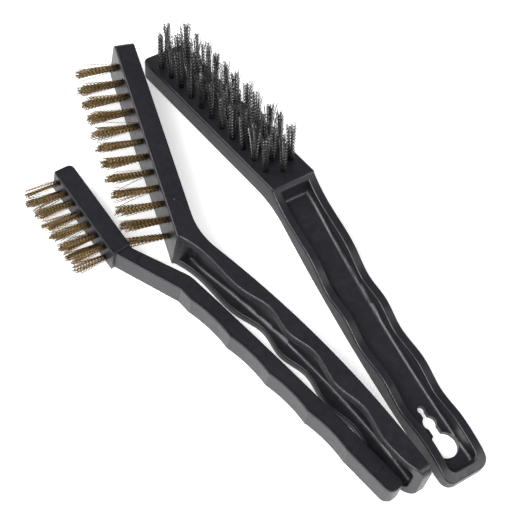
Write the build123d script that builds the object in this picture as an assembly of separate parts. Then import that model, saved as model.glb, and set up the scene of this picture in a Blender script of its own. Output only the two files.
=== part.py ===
from build123d import *
import math
import os

# A set of three hand wire brushes, laid out together on a flat surface. Sizes in mm, +Z up.
# Each moulding is drawn in its own frame first: X from the toe to the heel of the head,
# Z the way the wire points, Y across, zero at the middle of the toe on the back face.

# Large moulding, made twice: once filled with steel wire, once with brass.
LARGE_HEAD_LENGTH = 104.8
LARGE_HEAD_WIDTH = 22.0
LARGE_HEAD_THICKNESS = 9.4
LARGE_BACK_STRAIGHT = 94.4          # flat part of the back, toe to the start of the bend
LARGE_BEND_RADIUS = 33.7
LARGE_BEND_ANGLE = 33.5
LARGE_GRIP_LENGTH = 130.2           # along the back, from the bend to the end
LARGE_GRIP_RADIUS = 455.0           # the grip curves gently back towards the wire side
LARGE_HEEL_DROP = 1.2               # step down from the bristle face to the rims
LARGE_END_HEIGHT = 4.6
LARGE_FLOOR = 2.4                   # thickness of the channel floor
LARGE_RIM_WIDTH = 4.2
LARGE_CHANNEL_RADIUS = 2.2          # round along the foot of the channel walls
LARGE_CHANNEL_CORNER = 3.0
LARGE_HEEL_WALL = 1.2               # heel edge to the end wall of the channel
LARGE_TOE_RADIUS = 3.0
LARGE_TOE_ROLL = 2.5                # round of the toe into the back
LARGE_END_RADIUS = 4.5
LARGE_EDGE = 0.8
RIM_EDGE = 0.7

# Finger waves of the large grip: distance from the heel along the back, and rim height.
# The distances are for the grip length below and stretch with the real one.
WAVE_DESIGN_LENGTH = 139.7
WAVE_VALLEYS = [(9.5, 6.2), (45.0, 5.9), (70.3, 6.5), (102.5, 7.2)]
WAVE_CRESTS = [(32.0, 8.0), (58.0, 8.6), (88.5, 9.6), (116.5, 9.5)]
WAVE_NOSE = [(125.5, 9.2), (133.0, 7.8), (137.5, 5.9)]

# Hanging hole of the large grip: three lobes in line, the largest nearest the end.
HANG_RADIUS = 5.8
HANG_END_GAP = 16.3                 # centre of the largest lobe to the end of the grip
MIDDLE_LOBE_RADIUS = 3.1
MIDDLE_LOBE_GAP = 11.2              # from centre to centre
TOP_LOBE_RADIUS = 1.7
TOP_LOBE_GAP = 6.4
LOBE_NECK = 4.4
TOP_NECK = 2.6
LOBE_ROUND = 0.8

# Small moulding, filled with brass wire.
SMALL_HEAD_LENGTH = 48.3
SMALL_HEAD_WIDTH = 12.0
SMALL_HEAD_THICKNESS = 9.05
SMALL_BACK_STRAIGHT = 47.3
SMALL_NECK_RADIUS = 5.0
SMALL_NECK_ANGLE = 30.5
SMALL_NECK_LENGTH = 24.5
SMALL_HEEL_RADIUS = 12.0
SMALL_GRIP_ANGLE = 11.4             # the neck angle eases to this one
SMALL_GRIP_LENGTH = 122.8
SMALL_GRIP_RADIUS = 2300.0
SMALL_SIDE_STEP = 0.8               # the grip is this much narrower on each side
SMALL_HEEL_DROP = 1.5
SMALL_NECK_HEIGHT = 7.1             # just behind the heel
SMALL_NECK_GROWTH = 0.8             # the neck thickens by this much towards the grip
SMALL_GRIP_HEIGHT = 8.35            # at the finger crests and along the plain end
SMALL_SCALLOP = 1.0
SMALL_SCALLOPS = 4
SMALL_SCALLOP_PITCH = 22.85
SMALL_FIRST_CREST = 6.7             # start of the grip to the first finger crest
SMALL_TOE_ROLL = 2.5
SMALL_END_FRONT_RADIUS = 4.0
SMALL_END_BACK_RADIUS = 2.5
SMALL_EDGE = 0.5
SIDE_RIM = 1.1                      # raised line left around the side recess
SIDE_RECESS = 0.5
SIDE_RECESS_START = 5.0             # heel of the head to the recess
PAD_LENGTH = 13.8
PAD_WIDTH = 4.1
PAD_HEIGHT = 0.35
PAD_END_GAP = 10.8
PAD_BACK_GAP = 1.0

# Wire tufts and the flat anchors that staple them into blind holes.
LARGE_HOLE = 2.6
LARGE_HOLE_DEPTH = 6.4
LARGE_PITCH = 8.335
LARGE_FIRST = 9.8                   # toe to the first tuft of a side row
LARGE_SIDE_TUFTS = 11
LARGE_ROW_GAP = 6.6                 # middle row to a side row
STEEL_TUFT_HEIGHT = 19.0
BRASS_TUFT_HEIGHT = 17.5
SMALL_HOLE = 2.4
SMALL_HOLE_DEPTH = 6.0
SMALL_PITCH = 6.13
SMALL_FIRST = 4.9
SMALL_TUFTS = 7
SMALL_ROW_GAP = 6.2                 # from row to row
SMALL_STAGGER = 1.6
SMALL_TUFT_HEIGHT = 15.0
TUFT_CLEARANCE = 0.1                # around the wire bundle in its hole
TUFT_FLARE = 0.7                    # how much the radius grows up to the tips
HEEL_TUFT_FLARE = 1.0               # the last tuft of the middle row is splayed
HEEL_TUFT_LEAN = -3.0               # degrees towards the heel
HEEL_TUFT_DROP = 0.8                # its spread tips stay a little lower
BRASS_TOE_LEAN = 3.0                # easing along the row
BRASS_HEEL_LEAN = 0.0
STEEL_LEAN = 0.0
SMALL_TOE_LEAN = -6.0               # the first tufts of the small brush lean out over the toe
SMALL_HEEL_LEAN = 1.5
ANCHOR_THICKNESS = 0.35
ANCHOR_HEIGHT = 1.8
ANCHOR_BITE = 0.3                   # how far each end cuts into the wall of the hole
ANCHOR_LIFT = 0.8                   # wire folded under the anchor

# Where the brushes lie, toe positions on the surface and headings from the toe to the heel.
BRASS_TOE = (-83.4, 79.5)
BRASS_HEADING = -58.4
STEEL_TOE = (-69.3, 87.6)
STEEL_HEADING = -42.6
SMALL_FROM_BRASS_HEEL = (-62.114, 22.261)    # the small brush stays beside the brass one
SMALL_HEADING = -40.9


class Spine:
    """Back line of a moulding: (length, radius) runs; radius 0 is straight, negative bends down."""

    def __init__(self, runs):
        self.runs = runs
        self.length = sum(length for length, _ in runs)

    def back(self, s):
        x = z = angle = 0.0
        for index, (length, radius) in enumerate(self.runs):
            last = index == len(self.runs) - 1
            step = s if last else min(s, length)
            if radius:
                turned = angle + step / radius
                x += radius * (math.sin(turned) - math.sin(angle))
                z += radius * (math.cos(angle) - math.cos(turned))
                angle = turned
            else:
                x += step * math.cos(angle)
                z += step * math.sin(angle)
            s -= step
            if s <= 0:
                break
        return x, z, angle

    def at(self, s, height=0.0, y=0.0):
        x, z, angle = self.back(s)
        return Vector(x - height * math.sin(angle), y, z + height * math.cos(angle))

    def plane(self, s, height=0.0, y=0.0):
        angle = self.back(s)[2]
        normal = Vector(-math.sin(angle), 0, math.cos(angle))
        along = Vector(math.cos(angle), 0, math.sin(angle))
        return Plane(origin=self.at(s, height, y), x_dir=along, z_dir=normal)

    def line(self, s0, s1, height=0.0):
        """Edges along the back at a constant height, run by run."""
        edges, start = [], 0.0
        for length, radius in self.runs:
            a, b = max(s0, start), min(s1, start + length)
            start += length
            if b - a < 1e-6:
                continue
            if radius:
                middle = self.at((a + b) / 2, height)
                edges.append(Edge.make_three_point_arc(self.at(a, height), middle, self.at(b, height)))
            else:
                edges.append(Edge.make_line(self.at(a, height), self.at(b, height)))
        return edges


def large_spine():
    bend = LARGE_BEND_RADIUS * math.radians(LARGE_BEND_ANGLE)
    grip = (LARGE_GRIP_LENGTH, LARGE_GRIP_RADIUS)
    return Spine([(LARGE_BACK_STRAIGHT, 0), (bend, -LARGE_BEND_RADIUS), grip])


def small_spine():
    neck = SMALL_NECK_RADIUS * math.radians(SMALL_NECK_ANGLE)
    heel = SMALL_HEEL_RADIUS * math.radians(SMALL_NECK_ANGLE - SMALL_GRIP_ANGLE)
    return Spine([
        (SMALL_BACK_STRAIGHT, 0),
        (neck, -SMALL_NECK_RADIUS),
        (SMALL_NECK_LENGTH, 0),
        (heel, SMALL_HEEL_RADIUS),
        (SMALL_GRIP_LENGTH, SMALL_GRIP_RADIUS),
    ])


def slab(edges, width):
    """Solid from a closed outline in the X-Z plane, centred across Y."""
    face = make_face(Wire(edges))
    return extrude(face, amount=width / 2, dir=(0, 1, 0), both=True)


def side_edges(solid, y):
    """Edges that lie in either side face."""
    return [e for e in solid.edges() if all(abs(abs((e @ t).Y) - y) < 1e-4 for t in (0.2, 0.5, 0.8))]


def cross_edge(solid, point):
    """The edge that runs straight across through a corner of the outline."""
    return [e for e in solid.edges() if (Vector(e.center().X, 0, e.center().Z) - point).length < 1e-3
            and abs(e.center().Y) < 1e-3]


def corner_edges(solid, point, y):
    """The two edges that stand at the corners of an end face, one on each side."""
    return [e for e in solid.edges() if (Vector(e.center().X, 0, e.center().Z) - point).length < 0.05
            and abs(abs(e.center().Y) - y) < 1e-3]


def wave_points(spine):
    """Rim line of the large grip from the end to the heel, as (distance, height) turned to points."""
    heel = LARGE_HEAD_LENGTH
    stretch = (spine.length - heel) / WAVE_DESIGN_LENGTH
    marks = sorted(WAVE_VALLEYS + WAVE_CRESTS + WAVE_NOSE, reverse=True)
    points = [spine.at(spine.length, LARGE_END_HEIGHT)]
    points += [spine.at(heel + d * stretch, h) for d, h in marks]
    return points + [Vector(LARGE_HEAD_LENGTH + 0.2, 0, LARGE_HEAD_THICKNESS - LARGE_HEEL_DROP)]


def large_body(spine):
    """Head and grip as one rounded bar, before the channel and the holes."""
    top = LARGE_HEAD_THICKNESS
    half = LARGE_HEAD_WIDTH / 2
    heel = Vector(LARGE_HEAD_LENGTH, 0, top)
    rim = wave_points(spine)
    outline = spine.line(0, spine.length)
    outline += [
        Edge.make_line(spine.at(spine.length), rim[0]),
        Edge.make_spline(rim),
        Edge.make_line(rim[-1], heel),
        Edge.make_line(heel, Vector(0, 0, top)),
        Edge.make_line(Vector(0, 0, top), Vector(0, 0, 0)),
    ]
    body = slab(outline, LARGE_HEAD_WIDTH)
    body = fillet(corner_edges(body, Vector(0, 0, top / 2), half), LARGE_TOE_RADIUS)
    end = spine.at(spine.length, LARGE_END_HEIGHT / 2)
    body = fillet(corner_edges(body, end, half), LARGE_END_RADIUS)
    body = fillet(side_edges(body, half), LARGE_EDGE)
    return body - toe_roll_tool(LARGE_TOE_ROLL, LARGE_HEAD_WIDTH)


def toe_roll_tool(radius, width):
    """Rounds the toe into the back."""
    corner = [(radius, 0), (radius, -2), (-2, -2), (-2, radius), (0, radius)]
    points = [Vector(x, 0, z) for x, z in corner]
    edges = [Edge.make_line(a, b) for a, b in zip(points, points[1:])]
    middle = radius * (1 - math.sqrt(0.5))
    edges.append(Edge.make_three_point_arc(points[-1], Vector(middle, 0, middle), points[0]))
    return slab(edges, width + 4)


def channel_tool(spine):
    """What the open channel takes away: flat floor, rounded foot, square to the back line."""
    half = LARGE_HEAD_WIDTH / 2 - LARGE_RIM_WIDTH
    ratio = (LARGE_HEAD_LENGTH + LARGE_HEEL_WALL - LARGE_BACK_STRAIGHT) / (LARGE_BEND_RADIUS + LARGE_FLOOR)
    start = LARGE_BACK_STRAIGHT + LARGE_BEND_RADIUS * math.asin(ratio)
    end = spine.length - LARGE_RIM_WIDTH
    over = 2 * LARGE_HEAD_THICKNESS
    a, b = spine.at(start, LARGE_FLOOR), spine.at(end, over)
    corner = Vector(a.X, 0, over)
    outline = spine.line(start, end, LARGE_FLOOR)
    outline += [
        Edge.make_line(spine.at(end, LARGE_FLOOR), b),
        Edge.make_line(b, corner),
        Edge.make_line(corner, a),
    ]
    tool = slab(outline, 2 * half)
    tool = fillet(corner_edges(tool, spine.at(end, (LARGE_FLOOR + over) / 2), half), LARGE_CHANNEL_CORNER)
    return fillet(floor_edges(tool, spine), LARGE_CHANNEL_RADIUS)


def floor_edges(tool, spine):
    """Edges around the channel floor, without the seam between its two bends."""
    bend_end = LARGE_BACK_STRAIGHT + LARGE_BEND_RADIUS * math.radians(LARGE_BEND_ANGLE)
    bend_centre = spine.at(LARGE_BACK_STRAIGHT, -LARGE_BEND_RADIUS)
    grip_centre = spine.at(spine.length, LARGE_GRIP_RADIUS)
    seam = spine.at(bend_end, LARGE_FLOOR)

    def on_floor(point):
        flat = Vector(point.X, 0, point.Z)
        bend = (flat - bend_centre).length - LARGE_BEND_RADIUS
        grip = LARGE_GRIP_RADIUS - (flat - grip_centre).length
        return abs(bend - LARGE_FLOOR) < 1e-3 or abs(grip - LARGE_FLOOR) < 1e-3

    found = [e for e in tool.edges() if on_floor(e @ 0.3) and on_floor(e @ 0.7)]
    return [e for e in found if (Vector((e @ 0.5).X, 0, (e @ 0.5).Z) - seam).length > 0.01]


def hang_hole_tool(spine):
    """Three round lobes in line, joined by necks with rounded shoulders."""
    s = spine.length - HANG_END_GAP
    middle = -MIDDLE_LOBE_GAP
    top = middle - TOP_LOBE_GAP
    shape = Circle(HANG_RADIUS) + Pos(middle, 0) * Circle(MIDDLE_LOBE_RADIUS)
    shape += Pos(top, 0) * Circle(TOP_LOBE_RADIUS)
    shape += Pos(middle / 2, 0) * Rectangle(-middle, LOBE_NECK)
    shape += Pos((middle + top) / 2, 0) * Rectangle(middle - top, TOP_NECK)
    inner = [v for v in shape.vertices() if abs(v.Y) <= LOBE_NECK / 2 + 0.01]
    shape = fillet(inner, LOBE_ROUND)
    return spine.plane(s, -3) * extrude(shape, amount=LARGE_FLOOR + 6)


def large_moulding(spots):
    """Plastic moulding of a large brush, with blind holes for the tufts at the given spots."""
    spine = large_spine()
    body = large_body(spine) - channel_tool(spine)
    body = fillet(rim_inner_edges(body, spine), RIM_EDGE)
    body -= hang_hole_tool(spine)
    return body - hole_tools(spots, LARGE_HEAD_THICKNESS, LARGE_HOLE, LARGE_HOLE_DEPTH)


def rim_inner_edges(body, spine):
    """Closed loop where the channel opens through the rims."""
    half = LARGE_HEAD_WIDTH / 2 - LARGE_RIM_WIDTH
    start = LARGE_HEAD_LENGTH + LARGE_HEEL_WALL
    found = []
    for e in body.edges():
        p = e @ 0.5
        if p.X < start - 0.01 or abs(p.Y) > half + 0.01:
            continue
        end = spine.at(spine.length - LARGE_RIM_WIDTH - LARGE_CHANNEL_CORNER, LARGE_END_HEIGHT)
        long_side = abs(abs(p.Y) - half) < 1e-3 and e.length > 60
        heel_side = abs(p.X - start) < 1e-3 and abs(p.Y) < 1e-3 and p.Z > 3
        far_end = p.X > end.X and e.length > 1 and height_over(spine, p) > LARGE_END_HEIGHT - 0.5
        if long_side and height_over(spine, p) > LARGE_FLOOR + 1.7 or heel_side or far_end:
            found.append(e)
    return found


def height_over(spine, point):
    """Height of a point of the grip over the back line."""
    centre = spine.at(spine.length, LARGE_GRIP_RADIUS)
    return LARGE_GRIP_RADIUS - (Vector(point.X, 0, point.Z) - centre).length


def hole_tools(spots, top, hole, depth):
    """Blind holes with a slit on each side where the ends of the anchor cut in."""
    tools = []
    for x, y in spots:
        tools.append(Pos(x, y, top - depth / 2 + 1) * Cylinder(hole / 2, depth + 2))
        tools.append(Pos(x, y, 0) * anchor(top, hole, depth))
    return tools


def anchor(top, hole, depth):
    """Flat wire driven across the hole over the folded tuft."""
    z = top - depth + TUFT_CLEARANCE + ANCHOR_LIFT + ANCHOR_HEIGHT / 2
    return Pos(0, 0, z) * Box(ANCHOR_THICKNESS, hole + 2 * ANCHOR_BITE, ANCHOR_HEIGHT)


def tuft(top, hole, depth, height, lean, flare):
    """Bundle of wire folded in its hole; the free part widens and leans a little."""
    radius = hole / 2 - TUFT_CLEARANCE
    bottom = top - depth + TUFT_CLEARANCE
    root = Pos(0, 0, (bottom + top) / 2) * Cylinder(radius, top - bottom)
    shift = height * math.tan(math.radians(lean))
    low = Wire.make_circle(radius, Plane((0, 0, top)))
    high = Wire.make_circle(radius + flare, Plane((shift, 0, top + height)))
    return root + Solid.make_loft([low, high], ruled=True) - anchor(top, hole, depth)


def eased(x, first, last, start, stop):
    return start + (stop - start) * (x - first) / (last - first)


def tuft_row(spots, top, hole, depth, height, leans):
    """One row of tufts; the lean eases from the toe to the heel."""
    low, high = leans
    row = []
    for x, y in spots:
        lean = eased(x, 0, LARGE_HEAD_LENGTH, low, high)
        row.append(Pos(x, y, 0) * tuft(top, hole, depth, height, lean, TUFT_FLARE))
    return row


def anchor_row(spots, top, hole, depth):
    return [Pos(x, y, 0) * anchor(top, hole, depth) for x, y in spots]


def large_rows():
    """Spots of the three rows; the middle row has one tuft more and sits half a step ahead."""
    xs = [LARGE_FIRST + LARGE_PITCH * k for k in range(LARGE_SIDE_TUFTS)]
    middle = [x - LARGE_PITCH / 2 for x in xs] + [xs[-1] + LARGE_PITCH / 2]
    return {
        "left": [(x, LARGE_ROW_GAP) for x in xs],
        "middle": [(x, 0) for x in middle],
        "right": [(x, -LARGE_ROW_GAP) for x in xs],
    }


def large_brush(name, height, leans):
    """All the pieces of one large brush, in the frame of the moulding."""
    rows = large_rows()
    top, hole, depth = LARGE_HEAD_THICKNESS, LARGE_HOLE, LARGE_HOLE_DEPTH
    pieces = {name + "_handle": [large_moulding([spot for row in rows.values() for spot in row])]}
    for side, spots in rows.items():
        pieces[name + "_anchors_" + side] = anchor_row(spots, top, hole, depth)
        if side == "middle":
            x, y = spots[-1]
            heel = tuft(top, hole, depth, height - HEEL_TUFT_DROP, HEEL_TUFT_LEAN, HEEL_TUFT_FLARE)
            pieces[name + "_tuft_heel"] = [Pos(x, y, 0) * heel]
            spots = spots[:-1]
        pieces[name + "_tufts_" + side] = tuft_row(spots, top, hole, depth, height, leans)
    return pieces


def small_front(spine, drop, start, end):
    """Front line of the small grip from the end to the neck, lowered by a given amount."""
    grip = spine.length - SMALL_GRIP_LENGTH
    crest = [grip + SMALL_FIRST_CREST + SMALL_SCALLOP_PITCH * k for k in range(SMALL_SCALLOPS + 1)]
    height = SMALL_GRIP_HEIGHT - drop
    neck = SMALL_NECK_HEIGHT + SMALL_NECK_GROWTH - drop
    edges = spine.line(crest[-1], end, height)
    for a, b in zip(crest, crest[1:]):
        low = spine.at((a + b) / 2, height - SMALL_SCALLOP)
        edges.append(Edge.make_three_point_arc(spine.at(a, height), low, spine.at(b, height)))
    knee = spine.at(grip, neck)
    edges.append(Edge.make_line(spine.at(crest[0], height), knee))
    edges.append(Edge.make_line(knee, start))
    return edges


def small_grip(spine):
    """Grip and neck, running a little way into the head."""
    width = SMALL_HEAD_WIDTH - 2 * SMALL_SIDE_STEP
    top = SMALL_HEAD_THICKNESS - SMALL_HEEL_DROP
    start = Vector(SMALL_HEAD_LENGTH, 0, top)
    inside = SMALL_HEAD_LENGTH - 6
    outline = spine.line(inside, spine.length)
    outline.append(Edge.make_line(spine.at(spine.length), spine.at(spine.length, SMALL_GRIP_HEIGHT)))
    outline += small_front(spine, 0, start, spine.length)
    outline.append(Edge.make_line(start, Vector(inside, 0, top)))
    outline.append(Edge.make_line(Vector(inside, 0, top), Vector(inside, 0, 0)))
    grip = slab(outline, width)
    grip = fillet(cross_edge(grip, spine.at(spine.length, SMALL_GRIP_HEIGHT)), SMALL_END_FRONT_RADIUS)
    grip = fillet(cross_edge(grip, spine.at(spine.length)), SMALL_END_BACK_RADIUS)
    return fillet(side_edges(grip, width / 2), SMALL_EDGE)


def small_head():
    top = SMALL_HEAD_THICKNESS
    corners = [(0, 0), (SMALL_BACK_STRAIGHT, 0), (SMALL_HEAD_LENGTH, top), (0, top)]
    points = [Vector(x, 0, z) for x, z in corners]
    outline = [Edge.make_line(a, b) for a, b in zip(points, points[1:] + points[:1])]
    head = slab(outline, SMALL_HEAD_WIDTH)
    head = fillet(cross_edge(head, points[0]), SMALL_TOE_ROLL)
    head = fillet(cross_edge(head, points[3]), 2 * SMALL_EDGE)
    return fillet(side_edges(head, SMALL_HEAD_WIDTH / 2), SMALL_EDGE)


def side_recess_tool(spine):
    """Shallow recess in one side of the small grip, with a raised line left around it."""
    start = SMALL_HEAD_LENGTH + SIDE_RECESS_START
    end = spine.length - 2 * SIDE_RIM
    head = spine.at(start, SMALL_NECK_HEIGHT - SIDE_RIM)
    outline = spine.line(start, end, SIDE_RIM)
    outline.append(Edge.make_line(spine.at(end, SIDE_RIM), spine.at(end, SMALL_GRIP_HEIGHT - SIDE_RIM)))
    outline += small_front(spine, SIDE_RIM, head, end)
    outline.append(Edge.make_line(head, spine.at(start, SIDE_RIM)))
    tool = slab(outline, 4)
    upright = [e for e in tool.edges() if abs((e @ 0).Y - (e @ 1).Y) > 1]
    far = [e for e in upright if (e @ 0).X > spine.at(end - 1, 0).X]
    tool = fillet(far, 2.0)
    return Pos(0, SMALL_HEAD_WIDTH / 2 - SMALL_SIDE_STEP - SIDE_RECESS + 2, 0) * tool


def pad(spine):
    """Plain raised pad in the recess, near the end of the grip."""
    s = spine.length - PAD_END_GAP - PAD_LENGTH / 2
    y = SMALL_HEAD_WIDTH / 2 - SMALL_SIDE_STEP - SIDE_RECESS + PAD_HEIGHT / 2 - 0.2
    height = PAD_BACK_GAP + PAD_WIDTH / 2
    return spine.plane(s, height, y) * Box(PAD_LENGTH, PAD_HEIGHT + 0.4, PAD_WIDTH)


def small_brush():
    """All the pieces of the small brush, in the frame of its moulding."""
    spine = small_spine()
    top, hole, depth = SMALL_HEAD_THICKNESS, SMALL_HOLE, SMALL_HOLE_DEPTH
    xs = [SMALL_FIRST + SMALL_PITCH * k for k in range(SMALL_TUFTS)]
    rows = {
        "left": [(x, SMALL_ROW_GAP / 2) for x in xs],
        "right": [(x + SMALL_STAGGER, -SMALL_ROW_GAP / 2) for x in xs],
    }
    recess = side_recess_tool(spine)
    body = small_head() + small_grip(spine) - recess - mirror(recess, Plane.XZ) + pad(spine)
    body -= hole_tools(rows["left"] + rows["right"], top, hole, depth)
    pieces = {"small_handle": [body]}
    for side, spots in rows.items():
        leans = (SMALL_TOE_LEAN, SMALL_HEEL_LEAN * 2)
        pieces["small_anchors_" + side] = anchor_row(spots, top, hole, depth)
        pieces["small_tufts_" + side] = tuft_row(spots, top, hole, depth, SMALL_TUFT_HEIGHT, leans)
    return pieces


def lying_on_side(toe, heading, width):
    """Brush on its side: the back stands up and the wire points along the surface."""
    angle = math.radians(heading)
    along = Vector(math.cos(angle), math.sin(angle), 0)
    wire = Vector(math.sin(angle), -math.cos(angle), 0)
    return Plane(origin=(toe[0], toe[1], width / 2), x_dir=along, z_dir=wire)


def lying_on_back(toe, heading):
    """Large brush on its back, wire up, resting on the round of the toe and the end of the grip."""
    spine = large_spine()
    first = Vector(LARGE_TOE_ROLL, 0, LARGE_TOE_ROLL)
    last = spine.at(spine.length - LARGE_EDGE, LARGE_EDGE)
    line = last - first
    drop = (LARGE_TOE_ROLL - LARGE_EDGE) / line.length
    pitch = -math.asin(drop) - math.atan2(line.Z, line.X)
    angle = math.radians(heading)
    flat = Vector(math.cos(angle), math.sin(angle), 0)
    along = flat * math.cos(pitch) + Vector(0, 0, math.sin(pitch))
    wire = Vector(0, 0, math.cos(pitch)) - flat * math.sin(pitch)
    sunk = LARGE_TOE_ROLL * (math.sin(pitch) + math.cos(pitch) - 1)
    return Plane(origin=(toe[0], toe[1], -sunk), x_dir=along, z_dir=wire)


def beside_brass_heel():
    """Toe of the small brush, which moves along with the heel of the brass one."""
    angle = math.radians(BRASS_HEADING)
    heel = Vector(*BRASS_TOE) + LARGE_HEAD_LENGTH * Vector(math.cos(angle), math.sin(angle))
    toe = heel + Vector(*SMALL_FROM_BRASS_HEEL)
    return toe.X, toe.Y


def solids_of(pieces):
    return [solid for piece in pieces for solid in piece.solids()]


def main():
    placed = {}
    sets = [
        (lying_on_side(BRASS_TOE, BRASS_HEADING, LARGE_HEAD_WIDTH),
         large_brush("brass", BRASS_TUFT_HEIGHT, (BRASS_TOE_LEAN, BRASS_HEEL_LEAN))),
        (lying_on_back(STEEL_TOE, STEEL_HEADING),
         large_brush("steel", STEEL_TUFT_HEIGHT, (STEEL_LEAN, STEEL_LEAN))),
        (lying_on_side(beside_brass_heel(), SMALL_HEADING, SMALL_HEAD_WIDTH), small_brush()),
    ]
    for plane, brush in sets:
        for name, pieces in brush.items():
            placed[name] = Compound([plane.location * solid for solid in solids_of(pieces)])
    box = Compound(list(placed.values())).bounding_box()
    centre = Pos(-box.center().X, -box.center().Y, -box.min.Z)
    os.makedirs("parts", exist_ok=True)
    for name, shape in placed.items():
        export_step(centre * shape, f"parts/{name}.step")
        print(name, len(shape.solids()), round(shape.volume, 1), shape.is_valid)


main()
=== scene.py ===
import math
import random

import bpy
import numpy as np
from mathutils import Matrix, Vector


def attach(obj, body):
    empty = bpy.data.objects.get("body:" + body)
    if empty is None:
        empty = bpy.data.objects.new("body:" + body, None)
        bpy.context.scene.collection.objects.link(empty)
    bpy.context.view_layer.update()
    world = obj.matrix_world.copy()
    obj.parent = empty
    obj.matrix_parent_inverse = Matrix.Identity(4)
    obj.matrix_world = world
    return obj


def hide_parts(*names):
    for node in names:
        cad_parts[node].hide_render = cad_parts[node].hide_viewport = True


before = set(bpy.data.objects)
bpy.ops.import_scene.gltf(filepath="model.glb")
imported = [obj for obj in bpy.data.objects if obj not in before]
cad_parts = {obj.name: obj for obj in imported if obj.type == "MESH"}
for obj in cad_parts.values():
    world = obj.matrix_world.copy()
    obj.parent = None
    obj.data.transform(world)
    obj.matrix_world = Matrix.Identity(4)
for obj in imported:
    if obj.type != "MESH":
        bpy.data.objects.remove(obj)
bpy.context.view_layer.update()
MM = 0.001
UP = Vector((0, 0, 1))

# Camera: in front of the grips and well above the surface, turned a little about its own axis.
VIEW_TARGET = Vector((-3.346, -0.899, 0)) * MM
VIEW_DISTANCE = 701.3 * MM
VIEW_ELEVATION = math.radians(57.015)
VIEW_ROLL = math.radians(16.655)
LENS = 111.38

# Wires
WIRE_SIDES = 3
WIRE_STEPS = 24                     # two steps to one turn of the crimp
WIRE_VARIANTS = 14
WIRE_BOW = 0.6 * MM                 # how far a tip bends off its line, as a rule
CRIMP_SCATTER = 0.35                # radians, how far the crimps of one tuft turn apart
SPREAD_SCATTER = (0.3, 1.6)         # times the usual spread of a wire
STRAY_SPREAD = (0.05, 0.2)          # extra lean of a stray wire
LONGEST_WIRE = 1.02                 # times the length of the tuft
ROW_SEED = 100
HEEL_SEED = 200
SIDE_LEAN = 0.6                     # a tuft leans less to the side than along its row
ROOT_IN_HOLE = 1.2 * MM             # how deep the drawn wires start in their hole
FLOOR_GAP = 2.2 * MM                # no wire's straight line ends lower than this

# Reading tufts back from the CAD
TUFT_GAP = 1.5 * MM                 # more than this along the row starts the next tuft
FOOT_RING = 0.2 * MM                # height of the band that gives the centre of a foot

FLOOR_SIZE = 6
FLOOR_DROP = 0.05 * MM              # keeps the floor just clear of the brushes


def make_camera():
    data = bpy.data.cameras.new("camera")
    data.lens = LENS
    data.clip_start = 0.01
    camera = bpy.data.objects.new("camera", data)
    bpy.context.scene.collection.objects.link(camera)
    side = Vector((1, 0, 0))
    raised = Vector((0, math.sin(VIEW_ELEVATION), math.cos(VIEW_ELEVATION)))
    back = Vector((0, -math.cos(VIEW_ELEVATION), math.sin(VIEW_ELEVATION)))
    right = side * math.cos(VIEW_ROLL) + raised * math.sin(VIEW_ROLL)
    top = raised * math.cos(VIEW_ROLL) - side * math.sin(VIEW_ROLL)
    turn = Matrix((right, top, back)).transposed().to_4x4()
    camera.matrix_world = Matrix.Translation(VIEW_TARGET + back * VIEW_DISTANCE) @ turn
    bpy.context.scene.camera = camera


def area_light(name, place, target, size, power, colour=(1, 1, 1)):
    data = bpy.data.lights.new(name, "AREA")
    data.shape = "RECTANGLE"
    data.size, data.size_y = size
    data.energy = power
    data.color = colour
    light = bpy.data.objects.new(name, data)
    bpy.context.scene.collection.objects.link(light)
    aim = (Vector(target) - Vector(place)).to_track_quat("-Z", "Y")
    light.matrix_world = Matrix.Translation(place) @ aim.to_matrix().to_4x4()


def make_lights():
    world = bpy.data.worlds.new("studio")
    world.use_nodes = True
    background = world.node_tree.nodes["Background"]
    background.inputs["Color"].default_value = (0.95, 0.97, 1.0, 1)
    background.inputs["Strength"].default_value = 0.24
    bpy.context.scene.world = world
    area_light("key_softbox", (-0.45, -1.15, 1.35), (0, 0, 0), (1.3, 0.9), 42)
    area_light("side_softbox", (-1.2, 0.1, 0.9), (0, 0, 0), (0.5, 0.9), 12)
    area_light("fill_softbox", (1.2, -0.5, 1.0), (0, 0, 0), (0.8, 0.8), 10)
    bpy.context.scene.view_settings.view_transform = "Standard"


def deselect_all():
    for item in bpy.context.selected_objects:
        item.select_set(False)


# ---------------------------------------------------------------- node helpers

class Nodes:
    """Short way to add and join shader nodes in one tree."""

    def __init__(self, tree):
        self.tree = tree

    def add(self, kind, values=None, **settings):
        node = self.tree.nodes.new(kind)
        for key, value in settings.items():
            setattr(node, key, value)
        for key, value in (values or {}).items():
            self.put(node.inputs[key], value)
        return node

    def put(self, socket, value):
        if isinstance(value, bpy.types.NodeSocket):
            self.tree.links.new(value, socket)
        else:
            socket.default_value = value

    def math(self, operation, a, b=0.0, clamp=False):
        node = self.add("ShaderNodeMath", operation=operation, use_clamp=clamp)
        self.put(node.inputs[0], a)
        self.put(node.inputs[1], b)
        return node.outputs[0]

    def spread(self, value, low, high, to_low=0.0, to_high=1.0):
        node = self.add("ShaderNodeMapRange", {"Value": value, "From Min": low, "From Max": high,
                                               "To Min": to_low, "To Max": to_high})
        return node.outputs[0]

    def mix(self, share, a, b):
        node = self.add("ShaderNodeMix", data_type="RGBA")
        self.put(node.inputs["Factor"], share)
        self.put(node.inputs[6], a)
        self.put(node.inputs[7], b)
        return node.outputs[2]

    def noise(self, vector, scale, detail=3.0, roughness=0.55):
        node = self.add("ShaderNodeTexNoise", {"Vector": vector, "Scale": scale, "Detail": detail,
                                               "Roughness": roughness})
        return node.outputs["Fac"]


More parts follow.
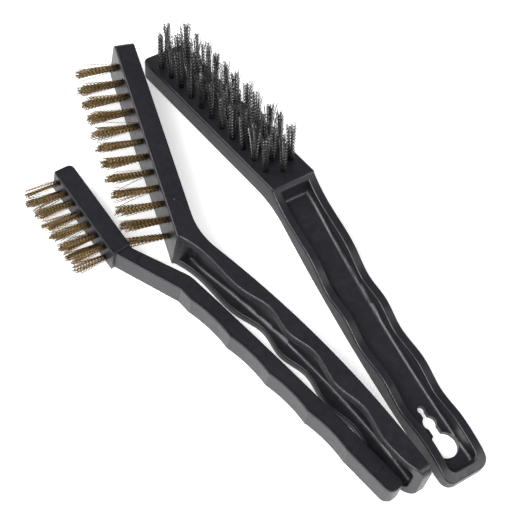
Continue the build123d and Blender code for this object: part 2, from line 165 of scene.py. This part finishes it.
def make_group(name, inputs, outputs):
    """A node group with named sockets; inputs are (name, kind, default)."""
    group = bpy.data.node_groups.new(name, "ShaderNodeTree")
    for label, kind, default in inputs:
        socket = group.interface.new_socket(label, in_out="INPUT", socket_type=kind)
        if default is not None:
            socket.default_value = default
    for label, kind in outputs:
        group.interface.new_socket(label, in_out="OUTPUT", socket_type=kind)
    nodes = Nodes(group)
    start = nodes.add("NodeGroupInput")
    end = nodes.add("NodeGroupOutput")
    return group, nodes, start.outputs, end.inputs


def mottling_group():
    """Slow change of tone and polish over a surface."""
    group, nodes, given, out = make_group(
        "mottling",
        [("Vector", "NodeSocketVector", None), ("Scale", "NodeSocketFloat", 60.0),
         ("Low", "NodeSocketFloat", 0.9), ("High", "NodeSocketFloat", 1.1)],
        [("Value", "NodeSocketFloat"), ("Fine", "NodeSocketFloat")])
    slow = nodes.noise(given["Vector"], given["Scale"], 4.0)
    fine = nodes.noise(given["Vector"], nodes.math("MULTIPLY", given["Scale"], 9.0), 3.0)
    both = nodes.math("ADD", nodes.math("MULTIPLY", slow, 0.7), nodes.math("MULTIPLY", fine, 0.3))
    nodes.put(out["Value"], nodes.spread(both, 0.35, 0.65, given["Low"], given["High"]))
    nodes.put(out["Fine"], fine)
    return group


def speck_group():
    """Sparse light specks of dust."""
    group, nodes, given, out = make_group(
        "dust_specks",
        [("Vector", "NodeSocketVector", None), ("Scale", "NodeSocketFloat", 140.0),
         ("Size", "NodeSocketFloat", 0.04), ("Share", "NodeSocketFloat", 0.05)],
        [("Mask", "NodeSocketFloat")])
    cells = nodes.add("ShaderNodeTexVoronoi", {"Vector": given["Vector"], "Scale": given["Scale"]})
    near = nodes.math("LESS_THAN", cells.outputs["Distance"], given["Size"])
    pick = nodes.add("ShaderNodeSeparateColor", {"Color": cells.outputs["Color"]})
    chosen = nodes.math("LESS_THAN", pick.outputs[0], given["Share"])
    nodes.put(out["Mask"], nodes.math("MULTIPLY", near, chosen))
    return group


MOTTLING = mottling_group()
SPECKS = speck_group()


def new_material(name):
    material = bpy.data.materials.new(name)
    material.use_nodes = True
    nodes = Nodes(material.node_tree)
    shader = material.node_tree.nodes["Principled BSDF"]
    place = nodes.add("ShaderNodeTexCoord").outputs["Object"]
    return material, nodes, shader, place


def moulded_plastic(name):
    """Black moulded plastic with a fine satin grain and a little dust."""
    material, nodes, shader, place = new_material(name)
    tone = nodes.add("ShaderNodeGroup", {"Vector": place, "Scale": 45.0, "Low": 0.82, "High": 1.18},
                     node_tree=MOTTLING)
    dust = nodes.add("ShaderNodeGroup", {"Vector": place, "Scale": 260.0, "Size": 0.05, "Share": 0.02},
                     node_tree=SPECKS)
    base = nodes.mix(nodes.spread(tone.outputs["Value"], 0.82, 1.18), (0.0065, 0.0062, 0.0090, 1),
                     (0.0115, 0.0110, 0.0150, 1))
    nodes.put(shader.inputs["Base Color"], nodes.mix(dust.outputs["Mask"], base, (0.5, 0.5, 0.5, 1)))
    nodes.put(shader.inputs["Roughness"], nodes.spread(tone.outputs["Fine"], 0.3, 0.7, 0.30, 0.42))
    shader.inputs["Specular IOR Level"].default_value = 0.5
    grain = nodes.noise(place, 2600.0, 2.0)
    ripple = nodes.noise(place, 300.0, 2.0)
    height = nodes.math("ADD", grain, nodes.math("MULTIPLY", ripple, 1.6))
    bump = nodes.add("ShaderNodeBump", {"Height": height, "Strength": 0.22, "Distance": 0.00006})
    nodes.put(shader.inputs["Normal"], bump.outputs[0])
    return material


def crimp_group():
    """Painted highlight on the crests and painted shade in the bends of a crimped wire, scaled for each
    wire by its tone, and painted shade near the root.
    """
    group, nodes, given, out = make_group(
        "crimp_turns",
        [("Along", "NodeSocketFloat", 0.0), ("Tone", "NodeSocketFloat", 0.5),
         ("Turns", "NodeSocketFloat", 12.0), ("Glint Cutoff", "NodeSocketFloat", 0.0)],
        [("Bright", "NodeSocketFloat"), ("Root Shade Fade", "NodeSocketFloat")])
    angle = nodes.math("MULTIPLY", nodes.math("MULTIPLY", given["Along"], given["Turns"]), 2 * math.pi)
    # painted highlight on each crest of the crimp, painted shade in the bends between
    turn = nodes.spread(nodes.math("SINE", angle), -0.5, 0.9)
    # each wire's random tone sets how strong its painted highlight is
    glint_share = nodes.spread(given["Tone"], given["Glint Cutoff"], 1.0, 0.1, 1.0)
    nodes.put(out["Bright"], nodes.math("MULTIPLY", turn, glint_share))
    # painted shade near the root of the wire, fading out along it
    nodes.put(out["Root Shade Fade"], nodes.spread(given["Along"], 0.12, 0.48))
    return group


CRIMP = crimp_group()


def drawn_wire(name, root_shade, mid, bright, roughness, metallic, glint_cutoff):
    """Drawn metal wire: painted shade at the root, each wire with its own tone, a painted highlight on
    every crest and painted shade in the bends.
    """
    material, nodes, shader, place = new_material(name)
    along = nodes.add("ShaderNodeAttribute", attribute_name="along").outputs["Fac"]
    tone = nodes.add("ShaderNodeAttribute", attribute_name="tone").outputs["Fac"]
    crimp = nodes.add("ShaderNodeGroup", {"Along": along, "Tone": tone, "Turns": WIRE_STEPS / 2,
                                          "Glint Cutoff": glint_cutoff}, node_tree=CRIMP).outputs
    streak = nodes.noise(place, 900.0, 2.0)
    # painted highlight on the crests over painted shade in the bends
    metal = nodes.mix(crimp["Bright"], mid, bright)
    # painted shade at the root, where the wires crowd into the hole
    nodes.put(shader.inputs["Base Color"], nodes.mix(crimp["Root Shade Fade"], root_shade, metal))
    shader.inputs["Metallic"].default_value = metallic
    polish = nodes.spread(streak, 0.3, 0.7, roughness - 0.06, roughness + 0.1)
    nodes.put(shader.inputs["Roughness"], polish)
    return material


def flat_anchor(name):
    """Flat steel wire of the staples in the holes."""
    material, nodes, shader, place = new_material(name)
    tone = nodes.add("ShaderNodeGroup", {"Vector": place, "Scale": 400.0, "Low": 0.35, "High": 0.55},
                     node_tree=MOTTLING)
    base = nodes.mix(tone.outputs["Value"], (0.3, 0.3, 0.31, 1), (0.6, 0.6, 0.6, 1))
    nodes.put(shader.inputs["Base Color"], base)
    shader.inputs["Metallic"].default_value = 1.0
    nodes.put(shader.inputs["Roughness"], tone.outputs["Value"])
    return material


def floor_paper(name):
    """Plain pale floor with a soft glow of its own, so that shadows stay faint."""
    material, nodes, shader, place = new_material(name)
    tone = nodes.noise(place, 30.0, 2.0)
    nodes.put(shader.inputs["Base Color"], nodes.mix(tone, (0.88, 0.88, 0.88, 1), (0.90, 0.90, 0.90, 1)))
    shader.inputs["Emission Color"].default_value = (1, 1, 1, 1)
    shader.inputs["Emission Strength"].default_value = 0.5
    shader.inputs["Roughness"].default_value = 0.9
    shader.inputs["Specular IOR Level"].default_value = 0.1
    return material


# ---------------------------------------------------------------- wires

def crimped_wire(name, radius, steps, wave, chance):
    """One upright wire, one metre long until it is scaled, with its crimp; its foot is at the origin."""
    deselect_all()
    bpy.ops.mesh.primitive_circle_add(vertices=WIRE_SIDES, radius=radius, fill_type="NGON")
    wire = bpy.context.object
    wire.name = name
    bpy.ops.object.mode_set(mode="EDIT")
    bpy.ops.mesh.select_all(action="SELECT")
    swing = wave * chance.uniform(0.75, 1.25)
    turn = chance.uniform(-0.35, 0.35)
    bow = Vector((chance.gauss(0, WIRE_BOW), chance.gauss(0, WIRE_BOW)))
    at = Vector((0, 0))
    for step in range(1, steps + 1):
        side = swing if step % 2 else -swing
        angle = turn * step / steps
        to = Vector((math.cos(angle), math.sin(angle))) * side * chance.uniform(0.85, 1.15)
        to += bow * (step / steps) ** 3
        move = (to.x - at.x, to.y - at.y, 1 / steps)
        bpy.ops.mesh.extrude_region_move(TRANSFORM_OT_translate={"value": move})
        at = to
    bpy.ops.mesh.select_all(action="SELECT")
    bpy.ops.mesh.normals_make_consistent(inside=False)
    bpy.ops.object.mode_set(mode="OBJECT")
    bpy.ops.object.shade_smooth()
    along = wire.data.attributes.new("along", "FLOAT", "POINT")
    along.data.foreach_set("value", [v.co.z for v in wire.data.vertices])
    wire.data.attributes.new("tone", "FLOAT", "POINT")
    return wire


def wire_set(name, radius, wave, seed):
    chance = random.Random(seed)
    return [crimped_wire(f"{name}_{k}", radius, WIRE_STEPS, wave, chance) for k in range(WIRE_VARIANTS)]


def node_points(node):
    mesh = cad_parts[node].data
    points = np.zeros(len(mesh.vertices) * 3)
    mesh.vertices.foreach_get("co", points)
    return points.reshape(-1, 3)


def main_direction(points):
    """Longest direction of a cloud of points."""
    centred = points - points.mean(axis=0)
    return np.linalg.svd(centred, full_matrices=False)[2][0]


def split_row(points, along):
    """Points of each tuft in a row, in order along it."""
    shares = points @ along
    order = np.argsort(shares)
    gaps = np.where(np.diff(shares[order]) > TUFT_GAP)[0] + 1
    return [points[part] for part in np.split(order, gaps)]


def box_centre(points):
    return (points.min(axis=0) + points.max(axis=0)) / 2


def tuft_frames(node, anchors, toe_to_heel):
    """Foot, axis and length of every tuft of a CAD row, worked out from its solids."""
    rise = np.array(node_points(node).mean(axis=0) - node_points(anchors).mean(axis=0))
    rise -= toe_to_heel * (rise @ toe_to_heel)
    found = []
    for points in split_row(node_points(node), toe_to_heel):
        up = main_direction(points)
        if up @ rise < 0:
            up = -up
        heights = points @ up
        low, high = heights.min(), heights.max()
        foot_ring = points[heights < low + FOOT_RING]
        foot = box_centre(foot_ring)
        found.append((Vector(foot), Vector(up), high - low))
    return found


def wire_tuft(parts, wires, frame_of_tuft, along, style, chance):
    """Copies of the wires, packed round the foot of a tuft and spreading towards the tips."""
    foot, up, length = frame_of_tuft
    across = up.cross(along).normalized()
    ahead = across.cross(up).normalized()
    basis = Matrix((ahead, across, up)).transposed()
    start = style["hole_depth"] - ROOT_IN_HOLE
    foot = foot + up * start
    length -= start
    lean = chance.gauss(0, style["lean_scatter"]), chance.gauss(0, style["lean_scatter"] * SIDE_LEAN)
    facing = chance.uniform(0, math.pi)
    wave = 2 * length / WIRE_STEPS
    for _ in range(style["wires"]):
        share = math.sqrt(chance.random())
        angle = chance.uniform(0, 2 * math.pi)
        spot = Vector((math.cos(angle), math.sin(angle), 0)) * share
        spread = style["spread"] * share * chance.uniform(*SPREAD_SCATTER)
        if chance.random() < style["strays"]:
            spread += chance.uniform(*STRAY_SPREAD)
        tilt = Vector((spot.x * spread + lean[0], spot.y * spread + lean[1], 1)).normalized()
        reach = length * chance.uniform(style["short"], LONGEST_WIRE) + wave / 2
        sunk = wave * (abs(spot.x) + (chance.random() < style["sunk"]))
        base = foot + basis @ (spot * style["radius"]) - up * sunk
        course = basis @ tilt
        course.z = max(course.z, (FLOOR_GAP - base.z) / reach)
        turn = UP.rotation_difference(course.normalized()).to_matrix()
        crimp_angle = facing + chance.gauss(0, CRIMP_SCATTER) + chance.choice((0, math.pi))
        spin = Matrix.Rotation(crimp_angle, 3, "Z")
        size = Matrix.Diagonal((1, 1, reach))
        whole = Matrix.Translation(base) @ (turn @ spin @ size).to_4x4()
        copy = chance.choice(wires).copy()
        copy.data = copy.data.copy()
        copy.data.transform(whole)
        tone = chance.random()
        copy.data.attributes["tone"].data.foreach_set("value", [tone] * len(copy.data.vertices))
        bpy.context.scene.collection.objects.link(copy)
        parts.append(copy)


def join_parts(parts, name, material):
    deselect_all()
    for part in parts:
        part.select_set(True)
    bpy.context.view_layer.objects.active = parts[0]
    bpy.ops.object.join()
    whole = bpy.context.object
    whole.name = name
    whole.data.materials.clear()
    whole.data.materials.append(material)
    return whole


def wire_row(node, anchors, along, wires, style, material, body, seed):
    chance = random.Random(seed)
    parts = []
    for frame_of_tuft in tuft_frames(node, anchors, along):
        wire_tuft(parts, wires, frame_of_tuft, Vector(along), style, chance)
    whole = join_parts(parts, node.replace("tuft", "wire"), material)
    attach(whole, body)
    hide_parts(node)
    return whole


def remove(items):
    for item in items:
        mesh = item.data
        bpy.data.objects.remove(item)
        bpy.data.meshes.remove(mesh)


# ---------------------------------------------------------------- the scene

STEEL_STYLE = {"wires": 24, "radius": 0.92 * MM, "spread": 0.078, "strays": 0.08, "short": 0.95,
               "sunk": 0.3, "lean_scatter": 0.03, "hole_depth": 6.3 * MM}
BRASS_STYLE = {"wires": 27, "radius": 0.95 * MM, "spread": 0.056, "strays": 0.03, "short": 0.97,
               "sunk": 0.15, "lean_scatter": 0.008, "hole_depth": 6.3 * MM}
SMALL_STYLE = {"wires": 26, "radius": 0.92 * MM, "spread": 0.075, "strays": 0.07, "short": 0.98,
               "sunk": 0.2, "lean_scatter": 0.012, "hole_depth": 5.9 * MM}

# Wire finishes: the root colour is painted shade near the root, mid is painted shade in the crimp bends,
# bright is a painted highlight on the crests
BRASS_FINISH = {"root_shade": (0.028, 0.017, 0.006, 1), "mid": (0.085, 0.052, 0.018, 1),
                "bright": (0.92, 0.63, 0.27, 1), "roughness": 0.28, "metallic": 0.7, "glint_cutoff": 0.1}
STEEL_FINISH = {"root_shade": (0.012, 0.012, 0.013, 1), "mid": (0.02, 0.02, 0.022, 1),
                "bright": (0.95, 0.96, 0.94, 1), "roughness": 0.25, "metallic": 0.5, "glint_cutoff": 0.55}

make_camera()
make_lights()

plastic = moulded_plastic("satin_black_plastic")
anchor_metal = flat_anchor("flat_anchor_wire")
brass = drawn_wire("crimped_brass", **BRASS_FINISH)
steel = drawn_wire("crimped_steel", **STEEL_FINISH)
for name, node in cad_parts.items():
    node.data.materials.clear()
    node.data.materials.append(anchor_metal if "anchor" in name else plastic)

steel_wires = wire_set("steel_wire", 0.18 * MM, 0.36 * MM, 11)
brass_wires = wire_set("brass_wire", 0.17 * MM, 0.3 * MM, 12)
brushes = (
    ("steel", STEEL_STYLE, steel_wires, steel, "steel_wire", ("left", "middle", "right")),
    ("brass", BRASS_STYLE, brass_wires, brass, "brass_wire", ("left", "middle", "right")),
    ("small", SMALL_STYLE, brass_wires, brass, "brass_wire", ("left", "right")),
)
for brush, style, wires, metal, slot, sides in brushes:
    body = f"{brush}_brush"
    first_anchors = node_points(f"{brush}_anchors_{sides[0]}")
    along = main_direction(first_anchors)
    handle = box_centre(node_points(f"{brush}_handle"))
    if along @ (handle - first_anchors.mean(axis=0)) < 0:
        along = -along
    rows = [(f"{brush}_tufts_{side}", f"{brush}_anchors_{side}", ROW_SEED + number)
            for number, side in enumerate(sides)]
    if "middle" in sides:
        rows.append((f"{brush}_tuft_heel", f"{brush}_anchors_middle", HEEL_SEED))
    for node, anchors, seed in rows:
        wire_row(node, anchors, along, wires, style, metal, body, seed)
remove(steel_wires + brass_wires)

deselect_all()
bpy.ops.mesh.primitive_plane_add(size=FLOOR_SIZE, location=(0, 0, 0))
floor = bpy.context.object
floor.name = "floor"
floor.data.transform(Matrix.Translation((0, 0, -FLOOR_DROP)))
floor.data.materials.append(floor_paper("pale_floor"))
